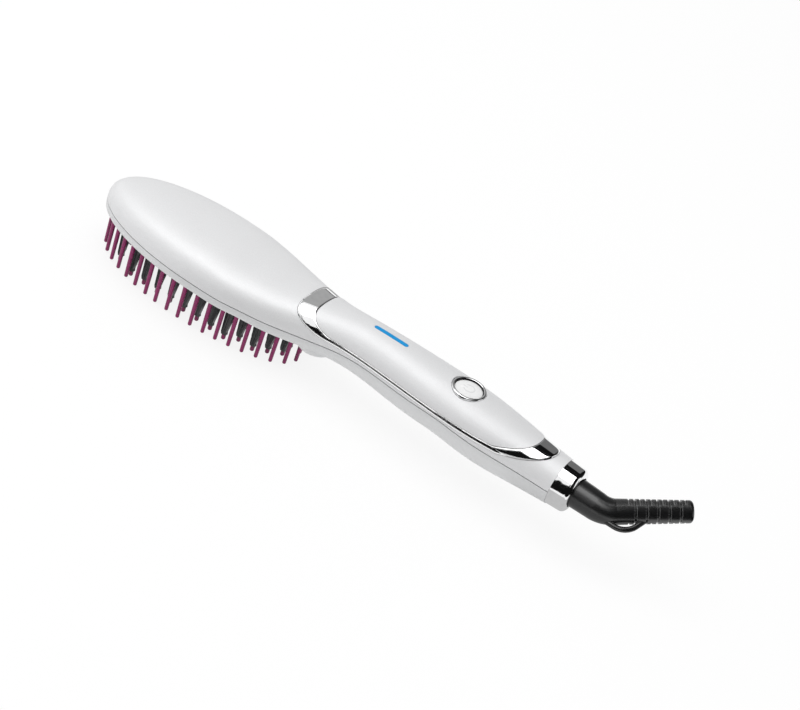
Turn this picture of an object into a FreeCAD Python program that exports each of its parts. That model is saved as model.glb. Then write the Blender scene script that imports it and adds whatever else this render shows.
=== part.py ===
"""Heated straightening brush: an oval head with a ring of guard pins round a heated, toothed plate, and a
tapered handle with a power button, a light bar and a swivelling cord outlet.

X runs along the brush from the head's tip towards the cord, Z is up through the brush's back and the pins point
down. The origin is the middle of the head's widest station, on the plane through the pin tips. Millimetres.
"""
import FreeCAD
import Part
import Sketcher
import math
import os
import re
from types import SimpleNamespace
from FreeCAD import Matrix, Placement, Rotation, Vector

doc = FreeCAD.newDocument("straightening_brush")

# Driving dimensions: name and value, by the piece that they belong to
SIZES = (
    # body form
    ("front_length", 66.0),
    ("rear_length", 201.0),
    ("head_half_width", 28.4),
    ("neck_half_width", 13.4),
    ("grip_half_width", 15.8),
    ("end_radius", 11.5),
    ("head_crown", 14.8),
    ("throat_crown", 13.7),
    ("grip_crown", 14.2),
    ("rim_depth", 4.4),
    ("grip_depth", 14.1),
    ("grip_rise", 4.5),
    ("tail_rise", 2.9),
    # heel: the rounded nose of the handle's belly, behind the bristle field
    ("heel_setback", 8.0),
    ("heel_half_length", 12.0),
    ("heel_half_width", 13.5),
    ("heel_depth", 8.4),
    # walls
    ("wall", 2.0),
    ("floor", 1.6),
    ("inner_corner", 0.4),
    ("seam_gap", 0.5),
    # clearances
    ("overrun", 2.0),
    ("join_tolerance", 0.0005),
    ("fit_gap", 0.15),
    ("running_gap", 0.08),
    ("moving_gap", 0.4),
    # trim loop and handle panel; its ends keep their distance from the neck's station and from the collar
    ("trim_neck_gap", 4.15),
    ("trim_front_band", 9.4),
    ("trim_front_sweep", 20.6),
    ("trim_tail_gap", 4.8),
    ("trim_back_band", 10.3),
    ("trim_back_sweep", 24.2),
    ("trim_front_height", 14.6),
    ("trim_back_height", 15.6),
    ("strip_front_rise", 5.3),
    ("strip_back_rise", 6.4),
    ("strip_width", 2.4),
    ("trim_thickness", 1.1),
    ("trim_proud", 0.15),
    ("panel_proud", 0.35),
    ("panel_gap", 0.35),
    # power button, bezel and switch
    ("button_tail_gap", 56.4),
    ("button_radius", 6.9),
    ("button_height", 18.6),
    ("button_sink", 1.0),
    ("button_edge", 0.5),
    ("button_dome", 0.8),
    ("button_skirt", 3.0),
    ("button_stem_radius", 2.2),
    ("button_travel", 0.8),
    ("bezel_width", 1.5),
    ("bezel_edge", 0.65),
    ("bezel_depth", 4.2),
    ("switch_side", 6.2),
    ("switch_height", 3.6),
    ("plunger_radius", 1.7),
    ("plunger_reach", 1.2),
    # light bar and its lamps
    ("light_bar_button_gap", 35.2),
    ("light_bar_length", 18.9),
    ("light_bar_width", 2.4),
    ("light_bar_depth", 12.6),
    ("lamp_side", 2.0),
    ("lamp_height", 1.2),
    # bristle field
    ("pin_reach", 21.2),
    ("pin_root_radius", 1.15),
    ("pin_radius", 0.95),
    ("pin_point", 0.7),
    ("pin_ring_front", 57.0),
    ("pin_ring_rear", 62.0),
    ("pin_ring_half_width", 23.7),
    ("pin_ring_offset", 4.0),
    ("pin_frame_reach", 2.0),
    ("pin_frame_thickness", 2.0),
    ("lip_reach", 1.5),
    ("tooth_inset", 2.8),
    ("tooth_row_step", 5.03),
    ("tooth_pitch", 8.43),
    ("tooth_lead", 4.7),
    ("tooth_root_lead", 2.2),
    ("tooth_root_trail", 3.4),
    ("tooth_waist_lead", 1.7),
    ("tooth_waist_trail", 1.0),
    ("tooth_root_width", 2.5),
    ("tooth_waist_width", 2.3),
    ("tooth_shoulder", 1.5),
    ("tooth_groove", 0.35),
    ("tooth_groove_width", 1.1),
    ("tooth_tip_radius", 1.1),
    ("tooth_tip_reach", 3.0),
    ("tooth_tip_point", 0.8),
    ("tooth_shortfall", 0.2),
    ("plate_flange", 1.5),
    ("plate_flange_reach", 1.5),
    ("post_radius", 1.6),
    # heater stack on the plate's back
    ("element_length", 72.0),
    ("element_width", 9.0),
    ("element_thickness", 1.5),
    ("element_spacing", 14.0),
    ("clamp_end_gap", 16.5),
    ("clamp_side_gap", 6.7),
    ("insulator_thickness", 0.6),
    ("clamp_thickness", 1.0),
    ("clamp_screw_margin", 4.0),
    ("fuse_radius", 2.0),
    ("fuse_length", 12.0),
    ("sensor_length", 5.0),
    ("sensor_width", 3.0),
    ("sensor_thickness", 1.8),
    # control board
    ("board_tail_gap", 10.0),
    ("board_length", 82.0),
    ("board_width", 18.0),
    ("board_thickness", 1.6),
    ("board_height", 28.5),
    ("board_screw_margin", 6.0),
    ("board_screw_spacing", 13.0),
    ("board_post_radius", 2.1),
    ("capacitor_tail_gap", 50.0),
    ("capacitor_length", 12.0),
    ("capacitor_width", 6.0),
    ("capacitor_height", 8.0),
    ("triac_tail_gap", 36.0),
    ("triac_length", 9.0),
    ("triac_width", 4.4),
    ("triac_height", 8.5),
    # fasteners
    ("small_screw_radius", 1.0),
    ("small_screw_head_radius", 1.8),
    ("small_screw_head_height", 1.2),
    ("small_screw_length", 5.6),
    ("shell_screw_radius", 1.2),
    ("shell_screw_head_radius", 2.3),
    ("shell_screw_head_height", 1.7),
    ("shell_screw_grip", 3.2),
    ("shell_screw_bite", 6.5),
    ("shell_boss_radius", 3.1),
    ("head_screw_gap", 1.5),
    ("head_screw_spacing", 26.0),
    ("tail_screw_gap", 30.5),
    # wires
    ("lead_radius", 0.7),
    ("lead_bend", 3.0),
    # collar and cord swivel, along the tail's axis
    ("collar_length", 9.4),
    ("collar_end_radius", 11.0),
    ("collar_edge", 2.6),
    ("collar_recess", 5.0),
    ("collar_spigot", 8.0),
    ("sleeve_root_radius", 7.2),
    ("sleeve_neck_radius", 6.8),
    ("sleeve_length", 15.4),
    ("swivel_radius", 6.5),
    ("swivel_flange_radius", 8.4),
    ("swivel_flange", 2.6),
    ("swivel_stub_radius", 4.0),
    ("swivel_stub", 14.0),
    ("slip_ring_thickness", 1.0),
    ("slip_ring_width", 3.0),
    ("slip_ring_spacing", 6.0),
    ("contact_thickness", 0.7),
    ("contact_width", 2.4),
    ("contact_length", 8.0),
    ("contact_block_length", 11.0),
    ("contact_block_width", 10.0),
    ("contact_block_height", 3.0),
    # strain relief
    ("relief_bend_radius", 13.0),
    ("relief_bend_angle", 38.2),
    ("relief_turn", 26.5),
    ("relief_radius", 5.95),
    ("relief_end_radius", 5.2),
    ("relief_edge", 1.8),
    ("relief_length", 35.1),
    ("relief_plain_length", 3.55),
    ("relief_end_rim", 0.95),
    ("relief_groove", 1.1),
    ("relief_groove_depth", 0.8),
    ("relief_slot_floor", 4.2),
    ("relief_slot_turn", -45.0),
    ("cord_bore_radius", 3.2),
    ("cord_bore_depth", 28.0),
    # hanging loop under the strain relief: a round rod in two legs, from the elbow to the third rib
    ("hanger_radius", 1.35),
    ("hanger_bend", 8.6),
    ("hanger_root_place", -7.5),
    ("hanger_low_place", 3.8),
    ("hanger_end_place", 16.0),
    ("hanger_root_depth", 2.5),
    ("hanger_low_depth", 10.9),
)
sheet = doc.addObject("Spreadsheet::Sheet", "sizes")
for row, (name, value) in enumerate(SIZES, start=1):
    sheet.set("A%d" % row, name)
    sheet.set("B%d" % row, str(value))
    sheet.setAlias("B%d" % row, name)
doc.recompute()
d = SimpleNamespace(**{name: float(sheet.get(name)) for name, _ in SIZES})

# Counts
pin_count = 38
tooth_row_count = 4
relief_rib_count = 6
lamp_count = 3
oval_step_count = 720
trim_free_station_count = 4
neck_station_count = 5
bend_step_count = 4

# The body's stations, as shares of the run from the head's widest place to the collar
station_shares = (0.00, 0.02, 0.07, 0.13, 0.19, 0.25, 0.30, 0.35, 0.42, 0.52, 0.64, 0.77, 0.87, 0.945, 1.00)
# How far each station has gone from one named size to the next
narrowing_shares = (0.00, 0.00, 0.02, 0.11, 0.29, 0.51, 0.71, 0.88, 1.00, 1.00, 1.00, 1.00, 1.00, 1.00, 1.00)
swelling_shares = (0.00, 0.00, 0.00, 0.00, 0.00, 0.00, 0.00, 0.00, 0.00, 0.12, 0.74, 1.00, 1.00, 1.00, 1.00)
closing_shares = (0.00, 0.00, 0.00, 0.00, 0.00, 0.00, 0.00, 0.00, 0.00, 0.00, 0.00, 0.00, 0.40, 0.80, 1.00)
crown_dip_shares = (0.00, 0.00, 0.27, 0.82, 1.00, 1.00, 1.00, 1.00, 1.00, 1.00, 1.00, 1.00, 1.00, 1.00, 1.00)
crown_swell_shares = (0.00, 0.00, 0.00, 0.00, 0.00, 0.30, 0.90, 1.00, 1.00, 1.00, 1.00, 1.00, 1.00, 1.00, 1.00)
crown_close_shares = (0.00, 0.00, 0.00, 0.00, 0.00, 0.00, 0.00, 0.00, 0.00, 0.00, 0.04, 0.26, 0.48, 0.74, 1.00)
rise_shares = (0.00, 0.00, 0.00, 0.00, 0.00, 0.00, 0.11, 0.29, 0.71, 0.95, 1.00, 1.00, 1.00, 1.00, 1.00)
settle_shares = (0.00, 0.00, 0.00, 0.00, 0.00, 0.00, 0.00, 0.00, 0.00, 0.00, 0.00, 0.15, 0.62, 0.90, 1.00)
belly_shares = (0.00, 0.00, 0.00, 0.00, 0.02, 0.09, 0.17, 0.28, 0.50, 0.77, 0.92, 1.00, 1.00, 1.00, 1.00)
belly_close_shares = (0.00, 0.00, 0.00, 0.00, 0.00, 0.00, 0.00, 0.00, 0.00, 0.00, 0.00, 0.00, 0.20, 0.70, 1.00)
# How square each section's quarter is, where 0.5523 is a true ellipse
fullness_shares = (0.80, 0.80, 0.80, 0.78, 0.76, 0.74, 0.70, 0.67, 0.64, 0.64, 0.64, 0.64, 0.62, 0.58, 0.5523)
# How much of the belly's half width and depth its rounded corner takes
corner_width_shares = (0.06, 0.06, 0.06, 0.06, 0.07, 0.12, 0.30, 0.55, 0.80, 0.94, 0.95, 0.95, 0.95, 0.95, 0.95)
corner_depth_shares = (0.40, 0.40, 0.40, 0.40, 0.42, 0.45, 0.55, 0.70, 0.85, 0.94, 0.95, 0.95, 0.95, 0.95, 0.95)

# The trim loop's curves: how far each handle reaches along its run
front_handle_share = 0.36
back_handle_share = 0.36
back_lean_share = 0.17
sweep_handle_share = 0.45
run_handle_share = 0.3
run_lift_share = 0.3
inner_sweep_share = 0.68
# Where the posts over the heater plate stand, as shares of a turn from the tail
post_turn_shares = (0.10, 0.25, 0.41, 0.59, 0.75, 0.90)
# How far each row of teeth stands ahead of the row outside it, as a share of their pitch
tooth_stagger_share = 0.3333

parting = d.pin_reach + d.rim_depth
tail_axis = parting + d.tail_rise


def bound(text):
    """An expression in the sheet's names, such as "wall + floor", as the document writes it."""
    names = {name for name, _ in SIZES}
    return re.sub(r"[a-z_]+",
                  lambda word: "sizes." + word.group() if word.group() in names else word.group(), text)


def worth(text):
    """The present value of such an expression."""
    return float(sheet.evalExpression(bound(text)))


def place(piece, x, y, z, rotation=None):
    """Ties a piece's place to the sheet."""
    if rotation:
        piece.Placement = Placement(Vector(), rotation)
    for axis, text in zip("xyz", (x, y, z)):
        piece.setExpression("Placement.Base." + axis, bound(text))


along_x = Rotation(Vector(0, 1, 0), 90)

# Places along X, tied to the collar at the handle's end
BUTTON = "(rear_length - button_tail_gap)"
BAR = "(rear_length - button_tail_gap - light_bar_button_gap - light_bar_length)"
CORE = "(rear_length - collar_spigot - moving_gap - swivel_flange - swivel_stub)"
BOARD_END = "(rear_length - collar_spigot - moving_gap - swivel_flange - swivel_stub - board_tail_gap)"
BOARD = "(rear_length - collar_spigot - moving_gap - swivel_flange - swivel_stub - board_tail_gap - board_length)"
button_place = worth(BUTTON)
light_bar_start = worth(BAR)
contact_start = worth(CORE)
board_start = worth(BOARD)
board_end = worth(BOARD_END)
head_screw_place = d.pin_ring_rear - d.pin_ring_offset - d.head_screw_gap
neck_screw_place = (d.pin_ring_rear - d.pin_ring_offset + d.pin_frame_reach + board_start) / 2
tail_screw_place = d.rear_length - d.tail_screw_gap
trim_front = station_shares[neck_station_count] * d.rear_length + d.trim_neck_gap
trim_back = d.rear_length - d.trim_tail_gap
CLAMP_LENGTH = "(pin_ring_front + pin_ring_rear - 2 * clamp_end_gap)"
CLAMP_WIDTH = "(2 * pin_ring_half_width - 2 * clamp_side_gap)"
clamp_length = worth(CLAMP_LENGTH)
clamp_width = worth(CLAMP_WIDTH)


def box(name, length, width, height, x, y, z):
    """A block with its lowest corner at x, y, z."""
    piece = doc.addObject("Part::Box", name)
    for side, text in (("Length", length), ("Width", width), ("Height", height)):
        piece.setExpression(side, bound(text))
    place(piece, x, y, z)
    return piece


def rod(name, radius, height, x, y, z, rotation=None):
    """A round bar that stands on x, y, z."""
    piece = doc.addObject("Part::Cylinder", name)
    piece.setExpression("Radius", bound(radius))
    piece.setExpression("Height", bound(height))
    place(piece, x, y, z, rotation)
    return piece


def drilled(name, base, holes):
    """A piece with its holes cut one after another."""
    piece = base
    for index, hole in enumerate(holes, start=1):
        last = index == len(holes)
        cut = doc.addObject("Part::Cut", name if last else "%s_cut_%d" % (name, index))
        cut.Base = piece
        cut.Tool = hole
        piece = cut
    return piece


def group(name, members):
    """Like pieces that share one node."""
    piece = doc.addObject("Part::Compound", name)
    piece.Links = members
    return piece


def turned(name, profile, x, y, z, rotation=None, domed=False, rounds=()):
    """A body turned about its own Z from a closed profile of (radius, height) corners. Its last side before the
    axis can be a dome, and rounds lists corners, by number, each with the radius that rounds it."""
    body = doc.addObject("PartDesign::Body", name)
    sketch = body.newObject("Sketcher::SketchObject", name + "_profile")
    plane = next(item for item in body.Origin.OriginFeatures if item.Role == "XZ_Plane")
    sketch.AttachmentSupport = [(plane, "")]
    sketch.MapMode = "FlatFace"
    corners = [Vector(worth(radius), worth(height), 0) for radius, height in profile]
    count = len(corners)
    for index in range(count):
        ends = corners[index], corners[(index + 1) % count]
        if domed and index == count - 2:
            rise = ends[1].y - ends[0].y
            radius = (ends[0].x ** 2 + rise ** 2) / (2 * rise)
            circle = Part.Circle(Vector(0, ends[1].y - radius, 0), Vector(0, 0, 1), radius)
            sketch.addGeometry(Part.ArcOfCircle(circle, math.acos(ends[0].x / radius), math.pi / 2))
            sketch.addConstraint(Sketcher.Constraint("PointOnObject", index, 3, -2))
        else:
            sketch.addGeometry(Part.LineSegment(*ends))
    for index in range(count):
        sketch.addConstraint(Sketcher.Constraint("Coincident", index, 2, (index + 1) % count, 1))
    for index, texts in enumerate(profile):
        for kind, axis, text, value in zip(("DistanceX", "DistanceY"), (-2, -1), texts, corners[index]):
            if text == "0":
                sketch.addConstraint(Sketcher.Constraint("PointOnObject", index, 1, axis))
                continue
            number = sketch.addConstraint(Sketcher.Constraint(kind, -1, 1, index, 1, value))
            sketch.setExpression("Constraints[%d]" % number, bound(text))
    turn = body.newObject("PartDesign::Revolution", name + "_turn")
    turn.Profile = sketch
    turn.ReferenceAxis = (sketch, ["V_Axis"])
    turn.Angle = 360
    for index, radius in rounds:
        doc.recompute()
        base = body.Tip
        corner = corners[index]
        edges = ["Edge%d" % number for number, edge in enumerate(base.Shape.Edges, start=1)
                 if is_circle(edge, corner.x, corner.y)]
        rounding = body.newObject("PartDesign::Fillet", "%s_round_%d" % (name, index))
        rounding.Base = (base, edges)
        rounding.setExpression("Radius", bound(radius))
    place(body, x, y, z, rotation)
    return body


def is_circle(edge, radius, height):
    """Whether an edge is the circle that a profile's corner turns into."""
    if edge.Degenerated or not isinstance(edge.Curve, Part.Circle):
        return False
    misfit = max(abs(edge.Curve.Radius - radius), abs(edge.Curve.Center.z - height))
    return misfit < Part.Precision.confusion()


def add(label, shape):
    """A sub-part whose form is set by its shape alone."""
    feature = doc.addObject("Part::Feature", label)
    feature.Shape = shape
    feature.Placement = Placement()
    return feature


# Body form

def blend(sizes, tables, index):
    """The size at a station, carried from each named size to the next by its table of shares."""
    value = sizes[0]
    for start, end, shares in zip(sizes, sizes[1:], tables):
        value += shares[index] * (end - start)
    return value


def station(index):
    """The body at one station: its place, half width, parting height, crown height and belly depth."""
    half_width = blend((d.head_half_width, d.neck_half_width, d.grip_half_width, d.end_radius),
                       (narrowing_shares, swelling_shares, closing_shares), index)
    belly = blend((d.rim_depth, d.grip_depth, d.end_radius), (belly_shares, belly_close_shares), index)
    return SimpleNamespace(
        x=station_shares[index] * d.rear_length,
        half_width=half_width,
        parting=parting + blend((0, d.grip_rise, d.tail_rise), (rise_shares, settle_shares), index),
        crown=blend((d.head_crown, d.throat_crown, d.grip_crown, d.end_radius),
                    (crown_dip_shares, crown_swell_shares, crown_close_shares), index),
        belly=belly,
        fullness=fullness_shares[index],
        corner_width_share=corner_width_shares[index],
        corner_depth_share=corner_depth_shares[index])


stations = [station(index) for index in range(len(station_shares))]


def parting_at(x):
    """The parting line's height at a place along the brush."""
    for before, after in zip(stations, stations[1:]):
        if x <= after.x:
            share = max(0, (x - before.x) / (after.x - before.x))
            return before.parting + share * (after.parting - before.parting)
    return stations[-1].parting


def bezier(*poles):
    curve = Part.BezierCurve()
    curve.setPoles(list(poles))
    return curve.toShape()


def back_curve(at, inset, lift):
    """Points of the far half of a back section: crown, and the foot of its side; and the curve between."""
    half_width = at.half_width - inset
    height = at.crown - inset - lift
    top = Vector(at.x, 0, at.parting + lift + height)
    foot = Vector(at.x, half_width, at.parting + lift)
    handles = (Vector(0, at.fullness * half_width, 0), Vector(0, 0, at.fullness * height))
    return [bezier(top, top + handles[0], foot + handles[1], foot)], top, foot


def belly_curve(at, inset, lift):
    """The far half of a belly section: a flat bottom, a rounded corner and a straight side."""
    half_width = at.half_width - inset
    thickness = min(inset, d.floor)
    corner_width = max(at.corner_width_share * at.half_width - inset, d.inner_corner)
    corner_depth = max(at.corner_depth_share * (at.belly - lift) - thickness, d.inner_corner)
    top = Vector(at.x, 0, at.parting - at.belly + thickness)
    turn = Vector(at.x, half_width - corner_width, top.z)
    rise = Vector(at.x, half_width, top.z + corner_depth)
    foot = Vector(at.x, half_width, at.parting - lift)
    handles = (Vector(0, at.fullness * corner_width, 0), Vector(0, 0, -at.fullness * corner_depth))
    return [Part.makeLine(top, turn), bezier(turn, turn + handles[0], rise + handles[1], rise),
            Part.makeLine(rise, foot)], top, foot


def mirrored(shape):
    return shape.mirror(Vector(0, 0, 0), Vector(0, 1, 0))


def body_form(half_curve, inset=0, skirt=0, lift=0, first=0):
    """The upper or lower form drawn in by an inset, from a first station to the collar, with its round front."""
    wires = []
    for at in stations[first:]:
        edges, top, foot = half_curve(at, inset, lift)
        away = Vector(0, 0, math.copysign(skirt, foot.z - top.z))
        corner = foot + away
        opposite = Vector(corner.x, -corner.y, corner.z)
        far_half = edges + ([Part.makeLine(foot, corner)] if skirt else [])
        near_half = [mirrored(edge) for edge in far_half]
        wires.append(Part.Wire(Part.__sortEdges__(far_half + near_half + [Part.makeLine(corner, opposite)])))
    form = Part.makeLoft(wires, True, False)
    if first:
        return form
    edges, top, foot = half_curve(stations[0], inset, lift)
    away = Vector(0, 0, math.copysign(skirt, foot.z - top.z))
    corner = foot + away
    centre = Vector(0, 0, corner.z)
    edges = edges + ([Part.makeLine(foot, corner)] if skirt else [])
    edges = edges + [Part.makeLine(corner, centre), Part.makeLine(centre, top)]
    half_dome = Part.Face(Part.Wire(Part.__sortEdges__(edges))).revolve(Vector(), Vector(0, 0, 1), 180)
    stretch = Matrix()
    stretch.scale((d.front_length - inset) / (stations[0].half_width - inset), 1, 1)
    return form.fuse(half_dome.transformGeometry(stretch)).removeSplitter()


half_seam = d.seam_gap / 2
back_outer = body_form(back_curve, lift=half_seam)
back_inner = body_form(back_curve, inset=d.wall, skirt=d.overrun, lift=half_seam)
belly_outer = body_form(belly_curve, lift=half_seam)
belly_inner = body_form(belly_curve, inset=d.wall, skirt=d.overrun, lift=half_seam)


def heel(inset):
    """The lower half of an ellipsoid behind the bristle field, drawn in by an inset."""
    half = Part.makeSphere(d.heel_depth, Vector(), Vector(0, 0, 1), -90, 0, 360)
    stretch = Matrix()
    stretch.scale((d.heel_half_length - inset) / d.heel_depth, (d.heel_half_width - inset) / d.heel_depth,
                  (d.heel_depth - inset) / d.heel_depth)
    half = half.transformGeometry(stretch)
    half.translate(Vector(d.pin_ring_rear - d.pin_ring_offset + d.heel_setback, 0, d.pin_reach + inset))
    return half


# Ovals of the bristle field: a front and a rear half ellipse about one middle

def oval_point(turn, reach):
    """A point of the pin ring's oval, drawn out by a reach, at a turn from the tail."""
    length = d.pin_ring_rear if math.cos(turn) > 0 else d.pin_ring_front
    return Vector((length + reach) * math.cos(turn) - d.pin_ring_offset,
                  (d.pin_ring_half_width + reach) * math.sin(turn), 0)


def oval(reach, bottom, top):
    """An upright oval block between two heights."""
    width = d.pin_ring_half_width + reach
    edges = []
    for length, towards in ((d.pin_ring_rear + reach, 1), (d.pin_ring_front + reach, -1)):
        middle = Vector(-d.pin_ring_offset, 0, bottom)
        tip = middle + Vector(towards * length, 0, 0)
        side = middle + Vector(0, towards * width, 0)
        ellipse = Part.Ellipse(tip, side, middle)
        edges.append(Part.Arc(ellipse, -math.pi / 2, math.pi / 2).toShape())
    return Part.Face(Part.Wire(Part.__sortEdges__(edges))).extrude(Vector(0, 0, top - bottom))


def oval_ring(count, reach):
    """Evenly spaced points round an oval, starting at the tail."""
    points = [oval_point(2 * math.pi * step / oval_step_count, reach) for step in range(oval_step_count + 1)]
    lengths = [0]
    for before, after in zip(points, points[1:]):
        lengths.append(lengths[-1] + before.distanceToPoint(after))
    ring = []
    for index in range(count):
        goal = lengths[-1] * index / count
        step = next(number for number, length in enumerate(lengths) if length >= goal)
        ring.append(points[step])
    return ring


lip_top = d.pin_reach + d.floor
frame_top = lip_top + d.pin_frame_thickness
flange_top = frame_top + d.plate_flange
frame_inner = -d.pin_frame_reach


def upright(radius, bottom, top, x, y=0):
    return Part.makeCylinder(radius, top - bottom, Vector(x, y, bottom))


# Screw places: two beside the bristle field, one in the neck and one in the tail
shell_screw_spots = ((head_screw_place, d.head_screw_spacing / 2), (head_screw_place, -d.head_screw_spacing / 2),
                     (neck_screw_place, 0), (tail_screw_place, 0))
board_screw_spots = [(x, y) for x in (board_start + d.board_screw_margin,
                                      board_end - d.board_screw_margin)
                     for y in (-d.board_screw_spacing / 2, d.board_screw_spacing / 2)]
contact_block_top = tail_axis - d.swivel_stub_radius - d.slip_ring_thickness - d.moving_gap - d.contact_thickness
contact_block_foot = contact_block_top - d.contact_block_height


# Trim loop and panel, cut from skins of the back by outlines drawn in side view

def band_outline(front, front_height, back, back_height, front_sweep, back_sweep, lift):
    """The region above a trim edge, as a block right through the brush's width."""
    low_front = Vector(front + front_sweep, 0, parting + d.strip_front_rise + lift)
    low_back = Vector(back - back_sweep, 0, parting + d.strip_back_rise + lift)
    high_front = Vector(front, 0, parting + front_height)
    high_back = Vector(back, 0, parting + back_height)
    front_drop = Vector(0, 0, (high_front.z - low_front.z) * front_handle_share)
    back_drop = Vector(back_lean_share * back_sweep, 0, (high_back.z - low_back.z) * back_handle_share)
    run = low_back - low_front
    edges = [bezier(high_front, high_front - front_drop, low_front - Vector(front_sweep * sweep_handle_share, 0, 0),
                    low_front),
             bezier(low_front, low_front + Vector(run.x * run_handle_share, 0, d.strip_width * run_lift_share),
                    low_back - Vector(run.x * run_handle_share, 0, d.strip_width * run_lift_share), low_back),
             bezier(low_back, low_back + Vector(back_sweep * sweep_handle_share, 0, d.strip_width),
                    high_back - back_drop, high_back)]
    roof = parting + d.grip_rise + d.grip_crown + d.overrun
    corners = [high_back, Vector(high_back.x, 0, roof), Vector(high_front.x, 0, roof), high_front]
    edges += [Part.makeLine(start, end) for start, end in zip(corners, corners[1:])]
    face = Part.Face(Part.Wire(Part.__sortEdges__(edges)))
    width = d.grip_half_width + d.neck_half_width
    face.translate(Vector(0, -width, 0))
    return face.extrude(Vector(0, 2 * width, 0))


def outer_band(gap):
    return band_outline(trim_front + gap, d.trim_front_height, trim_back - gap, d.trim_back_height,
                        d.trim_front_sweep, d.trim_back_sweep, gap)


def inner_band(gap):
    return band_outline(trim_front + d.trim_front_band + gap, d.trim_front_height + d.panel_proud,
                        trim_back - d.trim_back_band - gap, d.trim_back_height + d.panel_proud,
                        d.trim_front_sweep * inner_sweep_share, d.trim_back_sweep * inner_sweep_share,
                        d.strip_width + gap)


def skin(proud):
    return body_form(back_curve, inset=-proud, lift=half_seam, first=trim_free_station_count)


recess_floor = skin(-d.trim_thickness)
seat = skin(-d.trim_thickness + d.fit_gap / 2)
panel_skin = skin(d.panel_proud)
trim = skin(d.trim_proud).common(outer_band(d.fit_gap)).cut(inner_band(0)).cut(seat)
panel = panel_skin.common(inner_band(d.panel_gap)).cut(seat)

# Round bezel and rounded light bar pass through the panel and the shell below it
bezel_radius = d.button_radius + d.running_gap + d.bezel_width
bezel_hole = upright(bezel_radius + d.fit_gap, parting + d.grip_rise, parting + d.grip_rise + 2 * d.grip_crown,
                     button_place)


def bar_block(gap):
    """The light bar's upright block with round ends, drawn out by a gap."""
    radius = d.light_bar_width / 2
    ends = (light_bar_start + radius, light_bar_start + d.light_bar_length - radius)
    top = parting + d.grip_rise + 2 * d.grip_crown
    bottom = parting + d.grip_rise + d.grip_crown - d.light_bar_depth
    block = Part.makeBox(ends[1] - ends[0], 2 * (radius + gap), top - bottom,
                         Vector(ends[0], -radius - gap, bottom))
    return block.fuse([upright(radius + gap, bottom, top, end) for end in ends]).removeSplitter()


light_bar = bar_block(0).common(panel_skin)
panel = panel.cut([bezel_hole, bar_block(d.fit_gap)])
add("trim_loop", trim)
add("handle_panel", panel)
add("light_bar", light_bar)

# Back shell, with screw bosses and posts that hold the heater plate down
roof = parting + d.grip_rise + d.grip_crown
bosses = [upright(d.shell_boss_radius, parting_at(x) + half_seam, roof, x, y) for x, y in shell_screw_spots]
posts = []
for share in post_turn_shares:
    spot = oval_point(2 * math.pi * share, frame_inner + d.plate_flange_reach - d.post_radius)
    posts.append(upright(d.post_radius, flange_top + d.fit_gap, roof, spot.x, spot.y))
screw_holes = [upright(d.shell_screw_radius + d.running_gap, parting_at(x) - d.overrun,
                       parting_at(x) + d.shell_screw_bite + d.fit_gap, x, y) for x, y in shell_screw_spots]
back_shell = back_outer.cut([back_inner], d.join_tolerance)
back_shell = back_shell.fuse([piece.common(back_outer) for piece in bosses])
back_shell = back_shell.cut(outer_band(0).cut(recess_floor))
back_shell = back_shell.fuse([piece.common(back_outer) for piece in posts])
back_shell = back_shell.cut(screw_holes + [bezel_hole, bar_block(d.fit_gap)])
add("back_shell", back_shell)

# Front shell: the rim round the bristle field and the belly of the handle
front_outer = belly_outer.fuse(heel(0))
heel_hollow = heel(d.wall).cut(oval(d.lip_reach + d.wall, 0, parting))
front_shell = front_outer.cut([belly_inner], d.join_tolerance).cut(heel_hollow)
front_shell = front_shell.cut(oval(d.lip_reach, 0, parting))
tubes = [upright(d.shell_boss_radius, 0, parting_at(x) - half_seam, x, y) for x, y in shell_screw_spots]
tubes += [upright(d.board_post_radius, 0, d.board_height, x, y) for x, y in board_screw_spots]
tubes.append(Part.makeBox(d.contact_block_length, d.contact_block_width, contact_block_foot,
                          Vector(contact_start, -d.contact_block_width / 2, 0)))
front_shell = front_shell.fuse([piece.common(front_outer) for piece in tubes])
bores = [upright(d.shell_screw_radius + d.running_gap, 0, parting_at(x) + d.overrun, x, y)
         for x, y in shell_screw_spots]
bores += [upright(d.shell_screw_head_radius + d.fit_gap, 0, parting_at(x) - d.shell_screw_grip, x, y)
          for x, y in shell_screw_spots]
bores += [upright(d.small_screw_radius + d.running_gap, d.board_height - d.small_screw_length,
                  d.board_height + d.overrun, x, y) for x, y in board_screw_spots]
front_shell = front_shell.cut(bores)
add("front_shell", front_shell)

# Bristle field

def scattered(name, shape, spots):
    """Copies of one piece at several places, as one group."""
    return add(name, Part.makeCompound([shape.translated(spot) for spot in spots]))


frame_ring = oval(d.pin_frame_reach, lip_top, frame_top).cut(oval(frame_inner, 0, parting))
add("pin_frame", frame_ring)
pin = turned("pin", (("0", "0"), ("pin_radius", "0"), ("pin_root_radius", "pin_reach"),
                     ("pin_root_radius", "pin_reach + floor"), ("0", "pin_reach + floor")), "0", "0", "0",
             rounds=((1, "pin_point"),))
tip = turned("tooth_tip", (("0", "0"), ("tooth_tip_radius", "0"), ("tooth_tip_radius", "tooth_tip_reach"),
                           ("0", "tooth_tip_reach")), "0", "0", "tooth_shortfall",
             rounds=((1, "tooth_tip_point"),))


def tooth_section(lead, trail, width, groove, height):
    """A blade's section: a flat bar along X with a notch down the middle of each face."""
    middle = (trail - lead) / 2
    half_groove = d.tooth_groove_width / 2
    side = width / 2
    near = [(-lead, -side), (middle - half_groove, -side), (middle, groove - side),
            (middle + half_groove, -side), (trail, -side)]
    far = [(x, -y) for x, y in reversed(near)]
    return Part.makePolygon([Vector(x, y, height) for x, y in near + far + near[:1]])


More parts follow.
